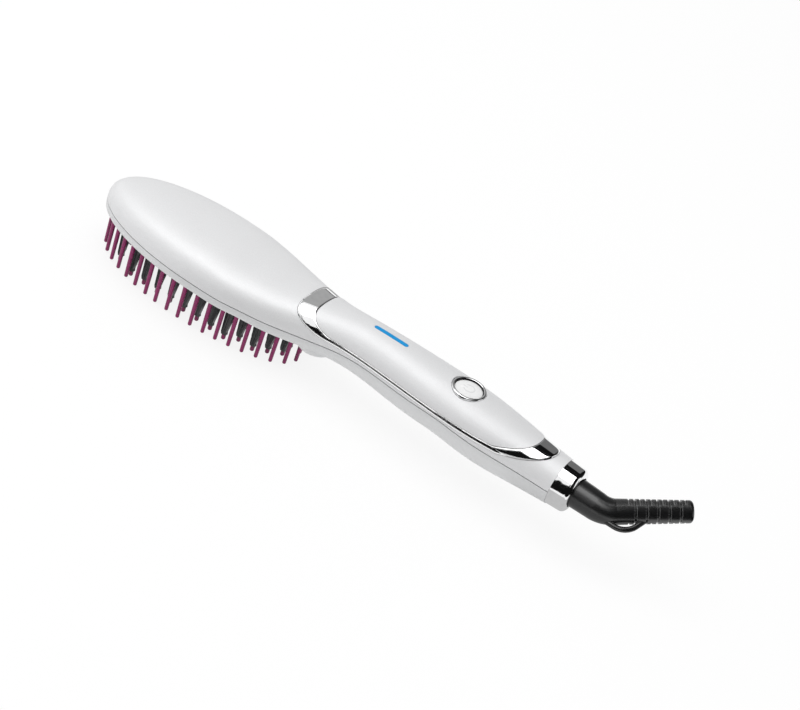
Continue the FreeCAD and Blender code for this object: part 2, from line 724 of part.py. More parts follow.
tooth_foot = d.tooth_shortfall + d.tooth_tip_reach
neck = d.tooth_tip_radius + d.fit_gap
tooth = Part.makeLoft([
    tooth_section(d.tooth_root_lead, d.tooth_root_trail, d.tooth_root_width, d.tooth_groove, lip_top),
    tooth_section(d.tooth_waist_lead, d.tooth_waist_trail, d.tooth_waist_width, d.tooth_groove,
                  tooth_foot + d.tooth_shoulder),
    tooth_section(neck, neck, 2 * d.tooth_tip_radius, d.fit_gap, tooth_foot)], True, True)


def tooth_row(row):
    """Places of one row's teeth along X, from the row next to the pins inwards, as far as the oval goes."""
    side = (tooth_row_count - row) * d.tooth_row_step - d.tooth_row_step / 2
    lead = (d.tooth_lead - row * tooth_stagger_share * d.tooth_pitch) % d.tooth_pitch
    share = math.sqrt(1 - (side / (d.pin_ring_half_width - d.tooth_inset)) ** 2)
    front = -(d.pin_ring_front - d.tooth_inset) * share
    rear = (d.pin_ring_rear - d.tooth_inset) * share
    first = math.ceil((front - lead) / d.tooth_pitch)
    last = math.floor((rear - lead) / d.tooth_pitch)
    places = [lead + step * d.tooth_pitch - d.pin_ring_offset for step in range(first, last + 1)]
    return [Vector(x, y, 0) for y in (-side, side) for x in places]


tooth_spots = [spot for row in range(tooth_row_count) for spot in tooth_row(row)]
doc.recompute()
scattered("guard_pins", pin.Shape, oval_ring(pin_count, 0))
scattered("heated_teeth", tooth, tooth_spots)
scattered("tooth_tips", tip.Shape, tooth_spots)

# Heater plate and the stack on its back
stack_middle = -d.pin_ring_offset
clamp_screw_spots = [Vector(stack_middle + x * (clamp_length / 2 - d.clamp_screw_margin),
                            y * (clamp_width / 2 - d.clamp_screw_margin), 0) for x in (-1, 1) for y in (-1, 1)]
stack_height = d.element_thickness + d.insulator_thickness + d.clamp_thickness
plate = oval(frame_inner - d.fit_gap, lip_top, frame_top).fuse(
    oval(frame_inner + d.plate_flange_reach, frame_top, flange_top)).removeSplitter()
clamp_screw_foot = flange_top + stack_height - d.small_screw_length
plate = plate.cut([upright(d.small_screw_radius + d.running_gap, clamp_screw_foot, flange_top + d.overrun,
                           spot.x, spot.y) for spot in clamp_screw_spots])
add("heater_plate", plate)

plate_back = "pin_reach + floor + pin_frame_thickness + plate_flange"
elements = [box("element_%s" % side, "element_length", "element_width", "element_thickness",
                "-pin_ring_offset - element_length / 2", text, plate_back)
            for side, text in (("near", "-element_spacing / 2 - element_width / 2"),
                               ("far", "element_spacing / 2 - element_width / 2"))]
group("heating_elements", elements)


def stack_sheet(name, thickness, height):
    """A flat sheet of the heater stack, with its four screw holes."""
    sheet_blank = box(name + "_blank", CLAMP_LENGTH, CLAMP_WIDTH, thickness,
                      "-pin_ring_offset - %s / 2" % CLAMP_LENGTH, "-%s / 2" % CLAMP_WIDTH, height)
    holes = [rod("%s_hole_%d" % (name, 2 * end + side), "small_screw_radius + running_gap", "2 * overrun",
                 "-pin_ring_offset + %d * (%s / 2 - clamp_screw_margin)" % (2 * end - 1, CLAMP_LENGTH),
                 "%d * (%s / 2 - clamp_screw_margin)" % (2 * side - 1, CLAMP_WIDTH), height + " - overrun / 2")
             for end in (0, 1) for side in (0, 1)]
    return drilled(name, sheet_blank, holes)


stack_sheet("insulator_sheet", "insulator_thickness", plate_back + " + element_thickness")
stack_sheet("heater_clamp", "clamp_thickness", plate_back + " + element_thickness + insulator_thickness")
stack_top = plate_back + " + element_thickness + insulator_thickness + clamp_thickness"
rod("thermal_fuse", "fuse_radius", "fuse_length", "-pin_ring_offset - fuse_length / 2", "-element_spacing / 2",
    stack_top + " + fuse_radius", along_x)
box("temperature_sensor", "sensor_length", "sensor_width", "sensor_thickness",
    "-pin_ring_offset - sensor_length / 2", "element_spacing / 2", stack_top)

# Control board and what stands on it
board_top = "board_height + board_thickness"
board_blank = box("board_blank", "board_length", "board_width", "board_thickness", BOARD, "-board_width / 2",
                  "board_height")
board_holes = [rod("board_hole_%d" % (2 * end + side), "small_screw_radius + running_gap", "2 * overrun",
                   BOARD + (" + board_screw_margin", " + board_length - board_screw_margin")[end],
                   "%d * board_screw_spacing / 2" % (2 * side - 1), "board_height - overrun / 2")
               for end in (0, 1) for side in (0, 1)]
drilled("control_board", board_blank, board_holes)
switch_blank = box("switch_blank", "switch_side", "switch_side", "switch_height", BUTTON + " - switch_side / 2",
                   "-switch_side / 2", board_top)
switch_well = rod("switch_well", "plunger_radius + running_gap", "2 * button_travel + plunger_reach + overrun",
                  BUTTON, "0", board_top + " + switch_height - 2 * button_travel - plunger_reach")
drilled("tactile_switch", switch_blank, [switch_well])
rod("switch_plunger", "plunger_radius", "2 * plunger_reach", BUTTON, "0",
    board_top + " + switch_height - plunger_reach")
lamps = [box("lamp_%d" % number, "lamp_side", "lamp_side", "lamp_height",
             "%s + light_bar_length * %d / %d - lamp_side / 2" % (BAR, number, lamp_count + 1),
             "-lamp_side / 2", board_top) for number in range(1, lamp_count + 1)]
group("status_lamps", lamps)
box("filter_capacitor", "capacitor_length", "capacitor_width", "capacitor_height",
    BOARD_END + " - capacitor_tail_gap", "-board_width / 2 + fit_gap", board_top)
box("triac", "triac_length", "triac_width", "triac_height", BOARD_END + " - triac_tail_gap",
    "board_width / 2 - triac_width - fit_gap", board_top)

# Power button, its bezel and the collar at the handle's end
switch_top = board_top + " + switch_height + plunger_reach"
cap_edge = "(pin_reach + rim_depth + button_height - button_sink - (%s))" % switch_top
turned("power_button", (("0", "0"), ("button_stem_radius", "0"),
                        ("button_stem_radius", cap_edge + " - button_skirt"),
                        ("button_radius", cap_edge + " - button_skirt"), ("button_radius", cap_edge),
                        ("0", cap_edge + " + button_dome")),
       BUTTON, "0", switch_top, domed=True, rounds=((4, "button_edge"),))
bezel_inner = "button_radius + running_gap"
turned("button_bezel", ((bezel_inner, "0"), (bezel_inner + " + bezel_width", "0"),
                        (bezel_inner + " + bezel_width", "bezel_depth"), (bezel_inner, "bezel_depth")),
       BUTTON, "0", "pin_reach + rim_depth + button_height - bezel_depth",
       rounds=((2, "bezel_edge"), (3, "bezel_edge")))
bearing = "swivel_radius + running_gap"
collar_top = "collar_spigot + collar_length"
turned("end_collar", ((bearing, "0"), ("end_radius - wall - fit_gap", "0"),
                      ("end_radius - wall - fit_gap", "collar_spigot"), ("end_radius", "collar_spigot"),
                      ("collar_end_radius", collar_top),
                      ("sleeve_root_radius + moving_gap", collar_top),
                      ("sleeve_root_radius + moving_gap", collar_top + " - collar_recess"),
                      (bearing, collar_top + " - collar_recess")),
       "rear_length - collar_spigot", "0", "pin_reach + rim_depth + tail_rise", along_x,
       rounds=((4, "collar_edge"),))

# Cord swivel: a core that turns in the collar, with its slip rings, and the sprung contacts below them
stub = "swivel_stub"
flange = "swivel_stub + swivel_flange"
core_length = "(swivel_stub + swivel_flange + 2 * moving_gap + collar_spigot + collar_length - collar_recess)"
turned("swivel_core", (("0", "0"), ("swivel_stub_radius", "0"), ("swivel_stub_radius", stub),
                       ("swivel_flange_radius", stub), ("swivel_flange_radius", flange),
                       ("swivel_radius", flange), ("swivel_radius", core_length), ("0", core_length)),
       CORE, "0", "pin_reach + rim_depth + tail_rise", along_x)
ring_inner = "swivel_stub_radius + running_gap"
rings = [turned("slip_ring_%s" % side, ((ring_inner, "0"), ("swivel_stub_radius + slip_ring_thickness", "0"),
                                        ("swivel_stub_radius + slip_ring_thickness", "slip_ring_width"),
                                        (ring_inner, "slip_ring_width")),
                CORE + " + contact_block_length / 2 + %d * slip_ring_spacing / 2 - slip_ring_width / 2" % way,
                "0", "pin_reach + rim_depth + tail_rise", along_x)
         for side, way in (("live", -1), ("neutral", 1))]
group("slip_rings", rings)
contact_top = ("pin_reach + rim_depth + tail_rise - swivel_stub_radius - slip_ring_thickness - moving_gap"
               " - contact_thickness")
box("contact_block", "contact_block_length", "contact_block_width", "contact_block_height", CORE,
    "-contact_block_width / 2", contact_top + " - contact_block_height")
contacts = [box("contact_%s" % side, "contact_width", "contact_length", "contact_thickness",
                CORE + " + contact_block_length / 2 + %d * slip_ring_spacing / 2 - contact_width / 2" % way,
                "-contact_length / 2", contact_top) for side, way in (("live", -1), ("neutral", 1))]
group("contact_springs", contacts)

# Screws
small_screw = turned("small_screw", (("0", "-small_screw_length"), ("small_screw_radius", "-small_screw_length"),
                                     ("small_screw_radius", "0"), ("small_screw_head_radius", "0"),
                                     ("small_screw_head_radius", "small_screw_head_height"),
                                     ("0", "small_screw_head_height")), "0", "0", "0")
shell_screw = turned("shell_screw", (("0", "-shell_screw_head_height"),
                                     ("shell_screw_head_radius", "-shell_screw_head_height"),
                                     ("shell_screw_head_radius", "0"), ("shell_screw_radius", "0"),
                                     ("shell_screw_radius", "shell_screw_grip + shell_screw_bite"),
                                     ("0", "shell_screw_grip + shell_screw_bite")), "0", "0", "0")
doc.recompute()
scattered("clamp_screws", small_screw.Shape, [Vector(spot.x, spot.y, flange_top + stack_height)
                                              for spot in clamp_screw_spots])
scattered("board_screws", small_screw.Shape, [Vector(x, y, d.board_height + d.board_thickness)
                                              for x, y in board_screw_spots])
scattered("shell_screws", shell_screw.Shape, [Vector(x, y, parting_at(x) - d.shell_screw_grip)
                                              for x, y in shell_screw_spots])


# Wires

def round_tube(points, radius, bend):
    """A round bar along straight runs joined by tangent arcs."""
    edges = []
    start = points[0]
    for before, corner, after in zip(points, points[1:], points[2:]):
        back = (before - corner).normalize()
        ahead = (after - corner).normalize()
        half_turn = (math.pi - back.getAngle(ahead)) / 2
        reach = bend * math.tan(half_turn)
        middle = corner + (back + ahead).normalize() * (bend / math.cos(half_turn) - bend)
        edges.append(Part.makeLine(start, corner + back * reach))
        edges.append(Part.Arc(corner + back * reach, middle, corner + ahead * reach).toShape())
        start = corner + ahead * reach
    edges.append(Part.makeLine(start, points[-1]))
    circle = Part.Wire(Part.makeCircle(radius, points[0], points[1] - points[0]))
    return Part.Wire(edges).makePipeShell([circle], True, False)


def lead_pair(name, route):
    """Two like wires on either side of the brush's middle."""
    tubes = [round_tube([Vector(x, side * y, z) for x, y, z in route], d.lead_radius, d.lead_bend)
             for side in (-1, 1)]
    return add(name, Part.makeCompound(tubes))


board_middle = d.board_height + d.board_thickness / 2
element_end = stack_middle + d.element_length / 2
element_middle = flange_top + d.element_thickness / 2
lead_offset = d.board_screw_spacing / 2 - d.lead_radius
lead_run = board_start - element_end
lead_pair("heater_leads", ((element_end, d.element_spacing / 2, element_middle),
                           (element_end + lead_run / 3, d.element_spacing / 2, element_middle),
                           (board_start - lead_run / 3, lead_offset, board_middle),
                           (board_start, lead_offset, board_middle)))
mains_run = contact_start - board_end
mains_side = d.contact_block_width / 2 - d.lead_radius - d.fit_gap
mains_foot = contact_block_foot + d.contact_block_height / 2
lead_pair("mains_leads", ((contact_start, mains_side, mains_foot),
                          (contact_start - mains_run / 3, mains_side, mains_foot),
                          (board_end + mains_run / 3, mains_side, board_middle),
                          (board_end, mains_side, board_middle)))


# Strain relief, drawn from the swivel outwards along X and bent towards +Y, then turned about the tail's axis

def ribbed_arm():
    """The tapered arm along X: a rounded end, ring grooves, and between them slots on two opposite sides."""
    ahead = Vector(1, 0, 0)
    arm = Part.makeCone(d.relief_radius, d.relief_end_radius, d.relief_length, Vector(), ahead)
    end_edges = [edge for edge in arm.Edges if is_circle(edge, d.relief_end_radius, 0)]
    arm = arm.makeFillet(d.relief_edge, end_edges)
    core = Part.makeCone(d.relief_radius - d.relief_groove_depth, d.relief_end_radius - d.relief_groove_depth,
                         d.relief_length, Vector(), ahead)
    pitch = (d.relief_length - d.relief_plain_length - d.relief_end_rim) / relief_rib_count
    span = 2 * d.relief_radius
    cuts = []
    for index in range(relief_rib_count):
        middle = d.relief_plain_length + (index + 1 / 2) * pitch
        for side in (0, 180):
            slot = Part.makeBox(d.relief_groove, span, span,
                                Vector(middle - d.relief_groove / 2, -d.relief_radius, d.relief_slot_floor))
            slot.rotate(Vector(), ahead, d.relief_slot_turn + side)
            cuts.append(slot)
        if index:
            start = Vector(d.relief_plain_length + index * pitch - d.relief_groove / 2, 0, 0)
            cuts.append(Part.makeCylinder(span, d.relief_groove, start, ahead).cut(core))
    return arm.cut(cuts)


def relief():
    straight = Part.makeCone(d.sleeve_root_radius, d.sleeve_neck_radius, d.sleeve_length, Vector(),
                             Vector(1, 0, 0))
    bend_centre = Vector(d.sleeve_length, d.relief_bend_radius, 0)
    sections = []
    for step in range(bend_step_count + 1):
        share = step / bend_step_count
        radius = d.sleeve_neck_radius + share * (d.relief_radius - d.sleeve_neck_radius)
        ring = Part.Wire(Part.makeCircle(radius, Vector(d.sleeve_length, 0, 0), Vector(1, 0, 0)))
        ring.rotate(bend_centre, Vector(0, 0, 1), share * d.relief_bend_angle)
        sections.append(ring)
    bend = Part.makeLoft(sections, True, False)
    loop = round_tube([Vector(d.hanger_root_place, -d.hanger_root_depth, 0),
                       Vector(d.hanger_low_place, -d.hanger_low_depth, 0),
                       Vector(d.hanger_end_place, -d.hanger_root_depth, 0)], d.hanger_radius, d.hanger_bend)
    bore = Part.makeCylinder(d.cord_bore_radius, d.cord_bore_depth + d.overrun,
                             Vector(d.relief_length - d.cord_bore_depth, 0, 0), Vector(1, 0, 0))
    arm = ribbed_arm().fuse(loop).cut(bore)
    arm.translate(Vector(d.sleeve_length, 0, 0))
    arm.rotate(bend_centre, Vector(0, 0, 1), d.relief_bend_angle)
    return straight.fuse([bend, arm]).removeSplitter()


strain_relief = add("strain_relief", relief())
relief_start = d.rear_length + d.collar_length - d.collar_recess + d.moving_gap
strain_relief.Placement = Placement(Vector(relief_start, 0, tail_axis), Rotation(Vector(1, 0, 0), d.relief_turn))

# Every sub-part is checked, then written under its own name
NODES = ("back_shell", "front_shell", "trim_loop", "handle_panel", "light_bar", "button_bezel", "power_button",
         "end_collar", "pin_frame", "guard_pins", "heater_plate", "heated_teeth", "tooth_tips",
         "heating_elements", "insulator_sheet", "heater_clamp", "clamp_screws", "thermal_fuse",
         "temperature_sensor", "heater_leads", "control_board", "tactile_switch", "switch_plunger",
         "status_lamps", "filter_capacitor", "triac", "board_screws", "shell_screws", "mains_leads",
         "contact_block", "contact_springs", "swivel_core", "slip_rings", "strain_relief")
doc.recompute()
for item in doc.Objects:
    if "Invalid" in item.State or "Error" in item.State:
        raise RuntimeError("%s did not recompute: %s" % (item.Name, item.State))
os.makedirs("parts", exist_ok=True)
for name in NODES:
    piece = doc.getObject(name)
    if piece.Shape.isNull() or not piece.Shape.isValid():
        raise RuntimeError("%s has no valid shape" % name)
    piece.Label = name
    piece.Shape.exportStep("parts/%s.step" % name)
    print(name, len(piece.Shape.Solids), round(piece.Shape.Volume, 1))
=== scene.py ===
import math

import bmesh
import bpy
from mathutils import Matrix, Vector


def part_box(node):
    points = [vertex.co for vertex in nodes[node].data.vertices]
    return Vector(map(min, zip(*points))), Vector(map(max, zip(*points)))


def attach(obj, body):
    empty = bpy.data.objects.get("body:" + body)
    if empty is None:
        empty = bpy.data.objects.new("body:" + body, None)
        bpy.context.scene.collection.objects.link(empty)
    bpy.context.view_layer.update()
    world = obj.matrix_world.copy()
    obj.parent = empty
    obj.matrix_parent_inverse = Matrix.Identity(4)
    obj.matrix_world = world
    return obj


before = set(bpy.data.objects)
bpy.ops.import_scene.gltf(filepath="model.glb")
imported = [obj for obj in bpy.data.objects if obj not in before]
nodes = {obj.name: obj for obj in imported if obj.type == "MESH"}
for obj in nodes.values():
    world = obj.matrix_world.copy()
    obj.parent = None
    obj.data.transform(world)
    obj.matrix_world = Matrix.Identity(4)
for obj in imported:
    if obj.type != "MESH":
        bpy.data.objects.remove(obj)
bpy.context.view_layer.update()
scene = bpy.context.scene


# Node helpers

# The colour sockets of a Mix node, which share their names with its number sockets
MIX_SHARE, MIX_FROM, MIX_TO, MIX_COLOUR = 0, 6, 7, 2


def new_material(name):
    material = bpy.data.materials.new(name)
    material.use_nodes = True
    tree = material.node_tree
    return material, tree, tree.nodes["Principled BSDF"]


def ranged(tree, value, start, end, low=0.0, high=1.0):
    """A value carried from one range to another, and held at its ends."""
    ramp = tree.nodes.new("ShaderNodeMapRange")
    for socket, number in (("From Min", start), ("From Max", end), ("To Min", low), ("To Max", high)):
        ramp.inputs[socket].default_value = number
    tree.links.new(value, ramp.inputs["Value"])
    return ramp.outputs["Result"]


def computed(tree, operation, first, second):
    """The result of a Math node on two sockets."""
    node = tree.nodes.new("ShaderNodeMath")
    node.operation = operation
    tree.links.new(first, node.inputs[0])
    tree.links.new(second, node.inputs[1])
    return node.outputs[0]


def seen(tree):
    """Whole where the camera, metal or glass looks, and nothing where light falls on other surfaces."""
    path = tree.nodes.new("ShaderNodeLightPath")
    mirrored = computed(tree, "MAXIMUM", path.outputs["Is Camera Ray"], path.outputs["Is Glossy Ray"])
    return computed(tree, "MAXIMUM", mirrored, path.outputs["Is Transmission Ray"])


# Materials: lengths are in metres, and a noise's scale is per metre

NOISE_LOW, NOISE_HIGH = 0.25, 0.75  # between these lie nearly all of a noise's values
SHADE_DARK, SHADE_LIGHT = 0.3, 0.7  # a noise's values at which its two colours stand
GRAIN_HEIGHT = 0.00002
BROAD_SHARE, BROAD_DETAIL = 0.06, 3.0  # the broad noise in the roughness, against the fine grain


def grain(tree, scale, detail=2.0):
    """A fine noise in the object's own coordinates."""
    place = tree.nodes.new("ShaderNodeTexCoord")
    noise = tree.nodes.new("ShaderNodeTexNoise")
    noise.inputs["Scale"].default_value = scale
    noise.inputs["Detail"].default_value = detail
    tree.links.new(place.outputs["Object"], noise.inputs["Vector"])
    return noise.outputs["Fac"]


def shades(tree, value, dark, light):
    """A noise value carried between two colours."""
    ramp = tree.nodes.new("ShaderNodeValToRGB")
    ends = ramp.color_ramp.elements
    for end, position, colour in ((ends[0], SHADE_DARK, dark), (ends[1], SHADE_LIGHT, light)):
        end.position = position
        end.color = (*colour, 1)
    tree.links.new(value, ramp.inputs["Fac"])
    return ramp.outputs["Color"]


def bump(tree, shader, value, strength, height):
    """A relief from a noise value. Returns its node."""
    node = tree.nodes.new("ShaderNodeBump")
    node.inputs["Strength"].default_value = strength
    node.inputs["Distance"].default_value = height
    tree.links.new(value, node.inputs["Height"])
    tree.links.new(node.outputs["Normal"], shader.inputs["Normal"])
    return node


def finish(name, dark, light, rough, metallic=0.0, scale=900.0, bump_strength=0.0, specular=0.5):
    """A moulded, coated or metal finish: two close shades in a fine grain, and a varied roughness."""
    material, tree, shader = new_material(name)
    value = grain(tree, scale)
    tree.links.new(shades(tree, value, dark, light), shader.inputs["Base Color"])
    broad = grain(tree, scale * BROAD_SHARE, BROAD_DETAIL)
    tree.links.new(ranged(tree, broad, NOISE_LOW, NOISE_HIGH, *rough), shader.inputs["Roughness"])
    shader.inputs["Metallic"].default_value = metallic
    shader.inputs["Specular IOR Level"].default_value = specular
    if bump_strength:
        bump(tree, shader, value, bump_strength, GRAIN_HEIGHT)
    return material


silver = finish("silver_lacquer", (0.68, 0.682, 0.69), (0.74, 0.742, 0.75), (0.47, 0.54),
                metallic=0.2, scale=2600)
# The front shell: the silver lacquer a little darker, with the shade it lies in painted into its colour
silver_painted_shade = finish("silver_lacquer_painted_shade", (0.63, 0.635, 0.64), (0.68, 0.685, 0.69), (0.40, 0.48),
              metallic=0.2, scale=2600)
# The panel: the silver lacquer a little darker, painted shade that tones down its highlight
panel = finish("panel_lacquer", (0.66, 0.662, 0.67), (0.72, 0.722, 0.73), (0.48, 0.55),
               metallic=0.2, scale=2600)
white = finish("white_button", (0.76, 0.76, 0.76), (0.80, 0.80, 0.80), (0.22, 0.30), scale=1800)
mark_white = finish("white_mark", (0.66, 0.66, 0.665), (0.70, 0.70, 0.705), (0.2, 0.28), scale=1800)
plum = finish("plum_nylon", (0.20, 0.009, 0.085), (0.28, 0.014, 0.12), (0.22, 0.3),
              scale=1500, specular=0.4)
dark = finish("dark_ceramic_coat", (0.018, 0.019, 0.020), (0.034, 0.036, 0.038), (0.34, 0.46),
              scale=2600, bump_strength=0.15)
rubber = finish("black_rubber", (0.004, 0.004, 0.0043), (0.008, 0.008, 0.0085), (0.25, 0.33),
                scale=2200, bump_strength=0.2, specular=0.9)
black = finish("black_moulding", (0.02, 0.02, 0.021), (0.032, 0.032, 0.033), (0.4, 0.55), scale=1600)
steel = finish("zinc_steel", (0.50, 0.50, 0.50), (0.60, 0.60, 0.59), (0.28, 0.4),
               metallic=1.0, scale=1200)
clamp = finish("mill_aluminium", (0.58, 0.58, 0.59), (0.68, 0.68, 0.69), (0.3, 0.45),
               metallic=1.0, scale=700)
brass = finish("contact_brass", (0.66, 0.48, 0.18), (0.76, 0.58, 0.25), (0.2, 0.32), metallic=1.0)
ceramic = finish("heater_ceramic", (0.76, 0.74, 0.70), (0.84, 0.82, 0.78), (0.5, 0.65), scale=1400)
mica = finish("mica_sheet", (0.46, 0.36, 0.22), (0.66, 0.55, 0.38), (0.3, 0.5), scale=260)
laminate = finish("board_laminate", (0.015, 0.10, 0.035), (0.03, 0.15, 0.055), (0.35, 0.5), scale=700)
yellow = finish("yellow_casing", (0.58, 0.38, 0.03), (0.68, 0.46, 0.05), (0.35, 0.5))
resin = finish("clear_resin", (0.74, 0.74, 0.62), (0.84, 0.84, 0.74), (0.15, 0.25))
silicone = finish("red_silicone", (0.26, 0.012, 0.01), (0.36, 0.02, 0.016), (0.45, 0.6))


def lit(name):
    """A blue light guide with a weak glow of its own."""
    material, tree, shader = new_material(name)
    blue = shades(tree, grain(tree, 300.0), (0.003, 0.20, 0.46), (0.005, 0.225, 0.51))
    tree.links.new(blue, shader.inputs["Base Color"])
    shader.inputs["Roughness"].default_value = 0.45
    shader.inputs["Specular IOR Level"].default_value = 0.2
    shader.inputs["Emission Color"].default_value = (0.002, 0.27, 0.58, 1)
    shader.inputs["Emission Strength"].default_value = 0.2
    return material


# Edges

EDGE_NEAR, EDGE_CLEAR = 0.86, 0.97  # cosines between the bevelled normal and the true one
EDGE_SAMPLES, ROUND_SAMPLES = 8, 16
# Painted shade: a dark line along the chrome's sharp edges, standing in for shadow gaps
SHADE_SEAM_RADIUS, SHADE_SEAM_COLOUR = 0.0003, (0.03, 0.03, 0.032)
# Painted highlight: a pale line along the rubber's sharp edges
EDGE_HIGHLIGHT_RADIUS, EDGE_HIGHLIGHT_COLOUR = 0.0003, (0.19, 0.19, 0.192)
RIPPLE_SCALE, RIPPLE_DETAIL, RIPPLE_HEIGHT = 170.0, 1.0, 0.0001
WALL_BLUR = 0.00004


def bevelled(tree, radius, samples):
    """The surface's normal, rounded over sharp edges."""
    node = tree.nodes.new("ShaderNodeBevel")
    node.samples = samples
    node.inputs["Radius"].default_value = radius
    return node.outputs["Normal"]


def away_from_edges(tree, radius):
    """A share that is whole on smooth surfaces and falls to nothing along sharp edges."""
    place = tree.nodes.new("ShaderNodeNewGeometry")
    same = tree.nodes.new("ShaderNodeVectorMath")
    same.operation = "DOT_PRODUCT"
    tree.links.new(bevelled(tree, radius, EDGE_SAMPLES), same.inputs[0])
    tree.links.new(place.outputs["Normal"], same.inputs[1])
    return ranged(tree, same.outputs["Value"], EDGE_NEAR, EDGE_CLEAR)


def outside(tree, hub, wall, share):
    """A share that falls to nothing within a radius of an upright axis."""
    place = tree.nodes.new("ShaderNodeTexCoord")
    level = tree.nodes.new("ShaderNodeVectorMath")
    level.operation = "MULTIPLY_ADD"
    level.inputs[1].default_value = (1, 1, 0)
    level.inputs[2].default_value = (-hub[0], -hub[1], 0)
    tree.links.new(place.outputs["Object"], level.inputs[0])
    reach = tree.nodes.new("ShaderNodeVectorMath")
    reach.operation = "LENGTH"
    tree.links.new(level.outputs["Vector"], reach.inputs[0])
    beyond = ranged(tree, reach.outputs["Value"], wall - WALL_BLUR, wall + WALL_BLUR)
    return computed(tree, "MULTIPLY", share, beyond)


def tinted(tree, shader, share, colour):
    """A painted colour, for painted shade or painted highlights, wherever the share falls away."""
    tint = tree.nodes.new("ShaderNodeMix")
    tint.data_type = "RGBA"
    tint.inputs[MIX_FROM].default_value = (*colour, 1)
    tree.links.new(shader.inputs["Base Color"].links[0].from_socket, tint.inputs[MIX_TO])
    tree.links.new(share, tint.inputs[MIX_SHARE])
    tree.links.new(tint.outputs[MIX_COLOUR], shader.inputs["Base Color"])


def plated(name, round_radius=0.0, wave=0.0, hub=None, wall=0.0):
    """Chrome plate with painted shade, a dark line, along its sharp edges where shadow gaps are, and a
    slight waviness.

    If asked, its edges are broadly rounded, and it has painted shade within a wall's radius of an
    upright axis.
    """
    material = finish(name, (0.86, 0.865, 0.87), (0.92, 0.92, 0.925), (0.02, 0.05),
                      metallic=1.0, scale=400)
    tree = material.node_tree
    shader = tree.nodes["Principled BSDF"]
    share = away_from_edges(tree, SHADE_SEAM_RADIUS)
    if hub:
        # painted shade inside the wall's radius
        share = outside(tree, hub, wall, share)
    # the painted shade along the sharp edges
    tinted(tree, shader, share, SHADE_SEAM_COLOUR)
    ripple = bump(tree, shader, grain(tree, RIPPLE_SCALE, RIPPLE_DETAIL), wave, RIPPLE_HEIGHT)
    if round_radius:
        tree.links.new(bevelled(tree, round_radius, ROUND_SAMPLES), ripple.inputs["Normal"])
    return material


def painted_edge_highlight(material):
    """A painted highlight: pale colour along a material's sharp edges."""
    tree = material.node_tree
    tinted(tree, tree.nodes["Principled BSDF"], away_from_edges(tree, EDGE_HIGHLIGHT_RADIUS), EDGE_HIGHLIGHT_COLOUR)


# Painted highlights along the rubber's groove edges
painted_edge_highlight(rubber)
light = lit("blue_light_guide")
chrome = plated("chrome_plate", wave=0.35)
trim = plated("chrome_trim", round_radius=0.0016, wave=0.3)

# The bezel has painted shade on its inner wall, a little past the ring's thickness
RING_THICKNESS, RING_LIP = 0.0015, 0.0002
ring_low, ring_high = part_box("button_bezel")
ring_radius = (ring_high.x - ring_low.x) / 2
bezel = plated("chrome_bezel", hub=(ring_low + ring_high) / 2,
               wall=ring_radius - (RING_THICKNESS - RING_LIP))

LOOKS = {
    "back_shell": silver, "front_shell": silver_painted_shade, "trim_loop": trim, "handle_panel": panel,
    "light_bar": light, "button_bezel": bezel, "power_button": white, "end_collar": chrome,
    "pin_frame": plum, "guard_pins": plum, "heater_plate": dark, "heated_teeth": dark,
    "tooth_tips": plum, "heating_elements": ceramic, "insulator_sheet": mica, "heater_clamp": clamp,
    "clamp_screws": steel, "thermal_fuse": steel, "temperature_sensor": ceramic,
    "heater_leads": silicone, "control_board": laminate, "tactile_switch": black,
    "switch_plunger": black, "status_lamps": resin, "filter_capacitor": yellow, "triac": black,
    "board_screws": steel, "shell_screws": steel, "mains_leads": silicone, "contact_block": black,
    "contact_springs": brass, "swivel_core": black, "slip_rings": brass, "strain_relief": rubber,
}
for name, material in LOOKS.items():
    node = nodes[name]
    node.data.materials.clear()
    node.data.materials.append(material)


# The raised power symbol on the button's domed cap

CAP_RISE = 0.0008
MARK_RADIUS = 0.0026
MARK_WIDTH = 0.0007
MARK_LIFT = 0.00008
MARK_FLAT = 0.7  # the flat top's share of the width
ARC_GAP, ARC_STEPS = 38, 48  # degrees on each side of the bar
BAR_START, BAR_LENGTH, BAR_STEPS = 0.35, 0.9, 8  # in radii
MARK_SECTION = ((-1, -MARK_LIFT), (-MARK_FLAT, MARK_LIFT), (MARK_FLAT, MARK_LIFT), (1, -MARK_LIFT))


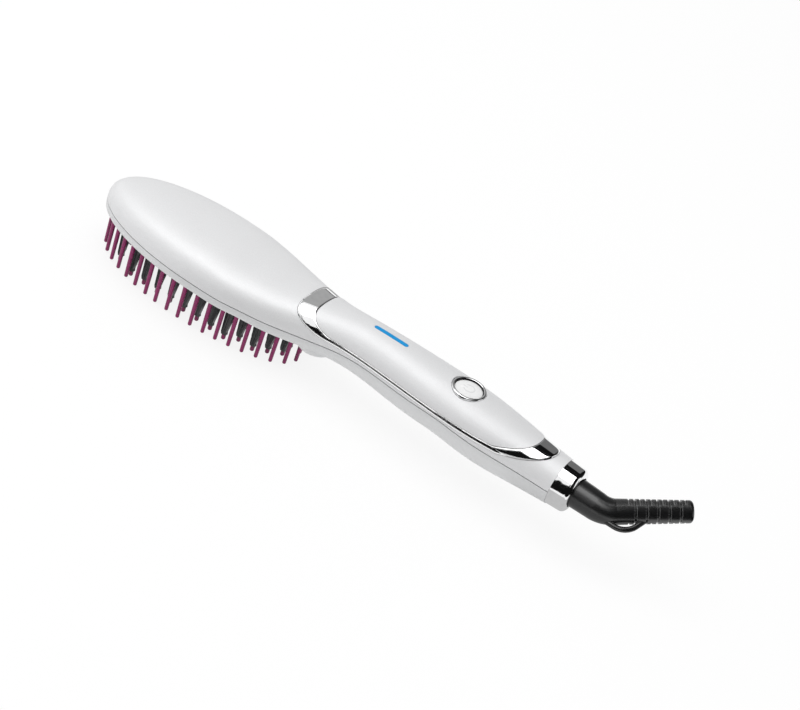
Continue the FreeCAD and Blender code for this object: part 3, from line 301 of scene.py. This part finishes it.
def power_mark():
    low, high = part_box("power_button")
    radius = (high[0] - low[0]) / 2
    middle = Vector(((low[0] + high[0]) / 2, (low[1] + high[1]) / 2, high[2]))
    dome = (radius ** 2 + CAP_RISE ** 2) / (2 * CAP_RISE)
    turns = [math.radians(180 + ARC_GAP + step * (360 - 2 * ARC_GAP) / ARC_STEPS)
             for step in range(ARC_STEPS + 1)]
    arc = [(MARK_RADIUS * math.cos(turn), MARK_RADIUS * math.sin(turn)) for turn in turns]
    bar = [(-MARK_RADIUS * (BAR_START + BAR_LENGTH * step / BAR_STEPS), 0.0)
           for step in range(BAR_STEPS + 1)]
    size = len(MARK_SECTION)
    corners, faces = [], []
    for path in (arc, bar):
        first = len(corners)
        for index, (x, y) in enumerate(path):
            after, before = path[min(index + 1, len(path) - 1)], path[max(index - 1, 0)]
            along = Vector((after[0] - before[0], after[1] - before[1])).normalized()
            for side, lift in MARK_SECTION:
                px = x - along.y * side * MARK_WIDTH / 2
                py = y + along.x * side * MARK_WIDTH / 2
                drop = dome - math.sqrt(dome ** 2 - px ** 2 - py ** 2)
                corners.append(middle + Vector((px, py, lift - drop)))
        for index in range(len(path) - 1):
            row = first + size * index
            for side in range(size):
                start, turn = row + side, row + (side + 1) % size
                faces.append((start, turn, turn + size, start + size))
        last = first + size * (len(path) - 1)
        faces.append(tuple(reversed(range(first, first + size))))
        faces.append(tuple(range(last, last + size)))
    mesh = bpy.data.meshes.new("power_mark")
    mesh.from_pydata(corners, [], faces)
    shape = bmesh.new()
    shape.from_mesh(mesh)
    bmesh.ops.recalc_face_normals(shape, faces=shape.faces)
    shape.to_mesh(mesh)
    shape.free()
    mark = bpy.data.objects.new("power_mark", mesh)
    scene.collection.objects.link(mark)
    mesh.materials.append(mark_white)
    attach(mark, "button")


power_mark()


# Stage: a white floor, a soft box overhead, and dark flags that only reflections see

MIDDLE = Vector((0.10, 0.0, 0.03))  # the flags and the soft box stand round this place
FLOOR_SIZE, FLOOR_PLACE = 8.0, (0.1, 0, -0.0005)
FLOOR_COLOUR, FLOOR_GLOW = (0.86, 0.86, 0.86), 0.86


def floor_material():
    """White to the camera and to the metal, with a little of its own shade left in."""
    material, tree, shader = new_material("pale_floor")
    shader.inputs["Base Color"].default_value = (*FLOOR_COLOUR, 1)
    shader.inputs["Roughness"].default_value = 0.9
    glow = tree.nodes.new("ShaderNodeEmission")
    mix = tree.nodes.new("ShaderNodeMixShader")
    tree.links.new(ranged(tree, seen(tree), 0.0, 1.0, 0.0, FLOOR_GLOW), mix.inputs["Fac"])
    tree.links.new(shader.outputs["BSDF"], mix.inputs[1])
    tree.links.new(glow.outputs["Emission"], mix.inputs[2])
    tree.links.new(mix.outputs["Shader"], tree.nodes["Material Output"].inputs["Surface"])
    return material


def lay_floor():
    half = FLOOR_SIZE / 2
    mesh = bpy.data.meshes.new("floor")
    mesh.from_pydata([(-half, -half, 0), (half, -half, 0), (half, half, 0), (-half, half, 0)], [],
                     [(0, 1, 2, 3)])
    mesh.materials.append(floor_material())
    thing = bpy.data.objects.new("floor", mesh)
    scene.collection.objects.link(thing)
    thing.matrix_world = Matrix.Translation(FLOOR_PLACE)


lay_floor()

# Flags: places are along the brush, and angles are round its length from +Y

FLAG_RADIUS, FLAG_STEPS = 1.2, 12
FLAG_END = 1.6
FLAG_LIFT = 0.0008  # above the floor
BLACK_GLOW = 0.006
FADE_HEAD, FADE_TAIL = -0.28, -0.12  # a flag's glow changes between these places
BACK_HEM, RIM_HEM, FRONT_HEM = 52, 11, 181


def flag_material(name, head_glow, tail_glow):
    """A dark cloth that can be paler towards one end of the brush than towards the other."""
    material, tree, shader = new_material(name)
    tree.nodes.remove(shader)
    place = tree.nodes.new("ShaderNodeNewGeometry")
    split = tree.nodes.new("ShaderNodeSeparateXYZ")
    tree.links.new(place.outputs["Position"], split.inputs["Vector"])
    level = ranged(tree, split.outputs["X"], FADE_HEAD, FADE_TAIL, head_glow, tail_glow)
    glow = tree.nodes.new("ShaderNodeEmission")
    tree.links.new(level, glow.inputs["Strength"])
    tree.links.new(glow.outputs["Emission"], tree.nodes["Material Output"].inputs["Surface"])
    return material


def flag(name, rows, head_glow=BLACK_GLOW, tail_glow=BLACK_GLOW):
    """A dark cloth through rows of corners, which only reflections see."""
    width = len(rows[0])
    faces = [(start, start + 1, start + width + 1, start + width)
             for row in range(len(rows) - 1) for start in range(row * width, (row + 1) * width - 1)]
    mesh = bpy.data.meshes.new(name)
    mesh.from_pydata([corner for row in rows for corner in row], [], faces)
    thing = bpy.data.objects.new(name, mesh)
    scene.collection.objects.link(thing)
    mesh.materials.append(flag_material(name, head_glow, tail_glow))
    thing.visible_camera = False
    thing.visible_diffuse = False
    thing.visible_shadow = False
    thing.visible_transmission = False


def round_flag(name, hem, outline, head_glow=BLACK_GLOW, tail_glow=BLACK_GLOW):
    """A flag bent round the brush, from a hem at one angle to an outline of places and angles."""
    rows = []
    for x, edge in outline:
        turns = [math.radians(hem + (edge - hem) * step / FLAG_STEPS) for step in range(FLAG_STEPS + 1)]
        rows.append([(x, MIDDLE.y + FLAG_RADIUS * math.cos(turn),
                      MIDDLE.z + FLAG_RADIUS * math.sin(turn)) for turn in turns])
    flag(name, rows, head_glow, tail_glow)


def floor_flag(name, near, far, head_glow=BLACK_GLOW, tail_glow=BLACK_GLOW):
    """A flag on the floor, between two edges of two corners each."""
    flag(name, [[(x, y, FLAG_LIFT) for x, y in edge] for edge in (near, far)], head_glow, tail_glow)


# Behind the brush and over it: the bands on the far side of the loop and the collar
round_flag("flag_behind", BACK_HEM, ((-FLAG_END, 11), (-0.2, 11), (-0.1, 3), (0.35, 3)),
           head_glow=0.40, tail_glow=0.16)
round_flag("flag_beyond", BACK_HEM, ((0.35, 3), (FLAG_END, 3)))
round_flag("flag_rim", RIM_HEM, ((-FLAG_END, 8), (-0.2, 8)))
round_flag("flag_high", BACK_HEM, ((-FLAG_END, 90), (-0.75, 83), (-0.5, 63), (-0.30, 63), (-0.15, 83),
                                   (FLAG_END, 83)), head_glow=0.40)

# In front of the brush: the black bands on its near side
round_flag("flag_front", FRONT_HEM, ((-FLAG_END, 178), (-0.27, 178), (-0.22, 139), (-0.085, 139),
                                     (-0.07, 163), (0.07, 163), (0.12, 139), (0.2, 128), (0.5, 128),
                                     (0.6, 139), (FLAG_END, 139)))

# On the floor: the black strip along the handle, the far side, and the grey under the collar
floor_flag("flag_low", ((-0.03, -FLAG_END), (0.182, -FLAG_END)), ((-0.03, -0.058), (0.182, -0.06)))
floor_flag("flag_far", ((-FLAG_END, 0.05), (0.02, 0.05)), ((-FLAG_END, 1.2), (0.02, 1.2)),
           head_glow=0.36, tail_glow=0.36)
floor_flag("flag_under", ((0.182, -0.105), (0.26, -0.105)), ((0.182, 0.03), (0.26, 0.03)),
           tail_glow=0.55)

# Past the tail: along the floor, up a wall and back over a slope
flag("flag_tail", [[(x, near, z), (x, far, z)] for x, near, far, z in (
    (0.30, -FLAG_END, 0.1, FLAG_LIFT), (1.2, -FLAG_END, 0.1, FLAG_LIFT), (1.2, -FLAG_END, 0.1, 0.45),
    (0.75, -0.8, 0.8, 0.98))])

# A card close to the relief's arm, bent round it from the front to above
ARM_WAY, ARM_HALF = Vector((0.786, 0.553, 0.276)), 0.02
CARD_FRONT, CARD_ABOVE = Vector((0.293, -0.768, 0.570)), Vector((-0.530, 0.366, 0.765))
CARD_REACH, CARD_BACK, CARD_AHEAD = 0.07, -0.012, 0.045
CARD_FROM, CARD_TO, CARD_STEPS = -10, 52, 6  # degrees from the front
arm_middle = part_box("strain_relief")[1] - ARM_WAY * ARM_HALF
card_turns = [math.radians(CARD_FROM + (CARD_TO - CARD_FROM) * step / CARD_STEPS)
              for step in range(CARD_STEPS + 1)]
card_ways = [CARD_FRONT * math.cos(turn) + CARD_ABOVE * math.sin(turn) for turn in card_turns]
flag("flag_arm", [[arm_middle + ARM_WAY * along + way * CARD_REACH for way in card_ways]
                  for along in (CARD_BACK, CARD_AHEAD)])


# Lights

KEY_ANGLE = 97.0  # degrees round the brush's length from +Y
KEY_DISTANCE, KEY_PLACE = 1.3, -0.6  # from MIDDLE, outwards and along X
KEY_WIDTH, KEY_HEIGHT, KEY_POWER = 1.3, 1.9, 13.2
WORLD_LIGHT, WORLD_WHITE = 0.74, 1.0


def key_light():
    """A soft box over the brush, turned to face it."""
    lamp = bpy.data.lights.new("key", "AREA")
    lamp.shape = "RECTANGLE"
    lamp.size = KEY_WIDTH
    lamp.size_y = KEY_HEIGHT
    lamp.energy = KEY_POWER
    thing = bpy.data.objects.new("key", lamp)
    scene.collection.objects.link(thing)
    turn = math.radians(KEY_ANGLE)
    way = Vector((0, math.cos(turn), math.sin(turn)))
    place = Matrix.Translation(MIDDLE + Vector((KEY_PLACE, 0, 0)) + way * KEY_DISTANCE)
    basis = (-way).to_track_quat("Z", "X").to_matrix().to_4x4()
    thing.matrix_world = place @ basis @ Matrix.Rotation(math.pi, 4, "X")


def studio_world():
    """White to the camera, metal and glass, and a little weaker as light."""
    world = bpy.data.worlds.new("studio")
    scene.world = world
    world.use_nodes = True
    tree = world.node_tree
    back = tree.nodes["Background"]
    back.inputs["Color"].default_value = (1, 1, 1, 1)
    level = ranged(tree, seen(tree), 0.0, 1.0, WORLD_LIGHT, WORLD_WHITE)
    tree.links.new(level, back.inputs["Strength"])


key_light()
studio_world()


# Camera, from the photograph's perspective

IMAGE_WIDTH, FOCAL_PIXELS = 800.0, 1804.5755
SENSOR_WIDTH = 36.0
EYE_PLACE = Vector((0.3518273, -0.6411779, 0.5140760))
EYE_RIGHT = Vector((0.7955496, 0.5263768, 0.3000473))
EYE_DOWN = Vector((0.5304127, -0.3656900, -0.7648092))
EYE_AHEAD = Vector((-0.2928535, 0.7675925, -0.5701215))

camera = bpy.data.cameras.new("camera")
camera.sensor_fit = "HORIZONTAL"
camera.sensor_width = SENSOR_WIDTH
camera.lens = FOCAL_PIXELS * SENSOR_WIDTH / IMAGE_WIDTH
eye = bpy.data.objects.new("camera", camera)
scene.collection.objects.link(eye)
eye_basis = Matrix((EYE_RIGHT, -EYE_DOWN, -EYE_AHEAD)).transposed().to_4x4()
eye.matrix_world = Matrix.Translation(EYE_PLACE) @ eye_basis
scene.camera = eye

scene.view_settings.view_transform = "Standard"
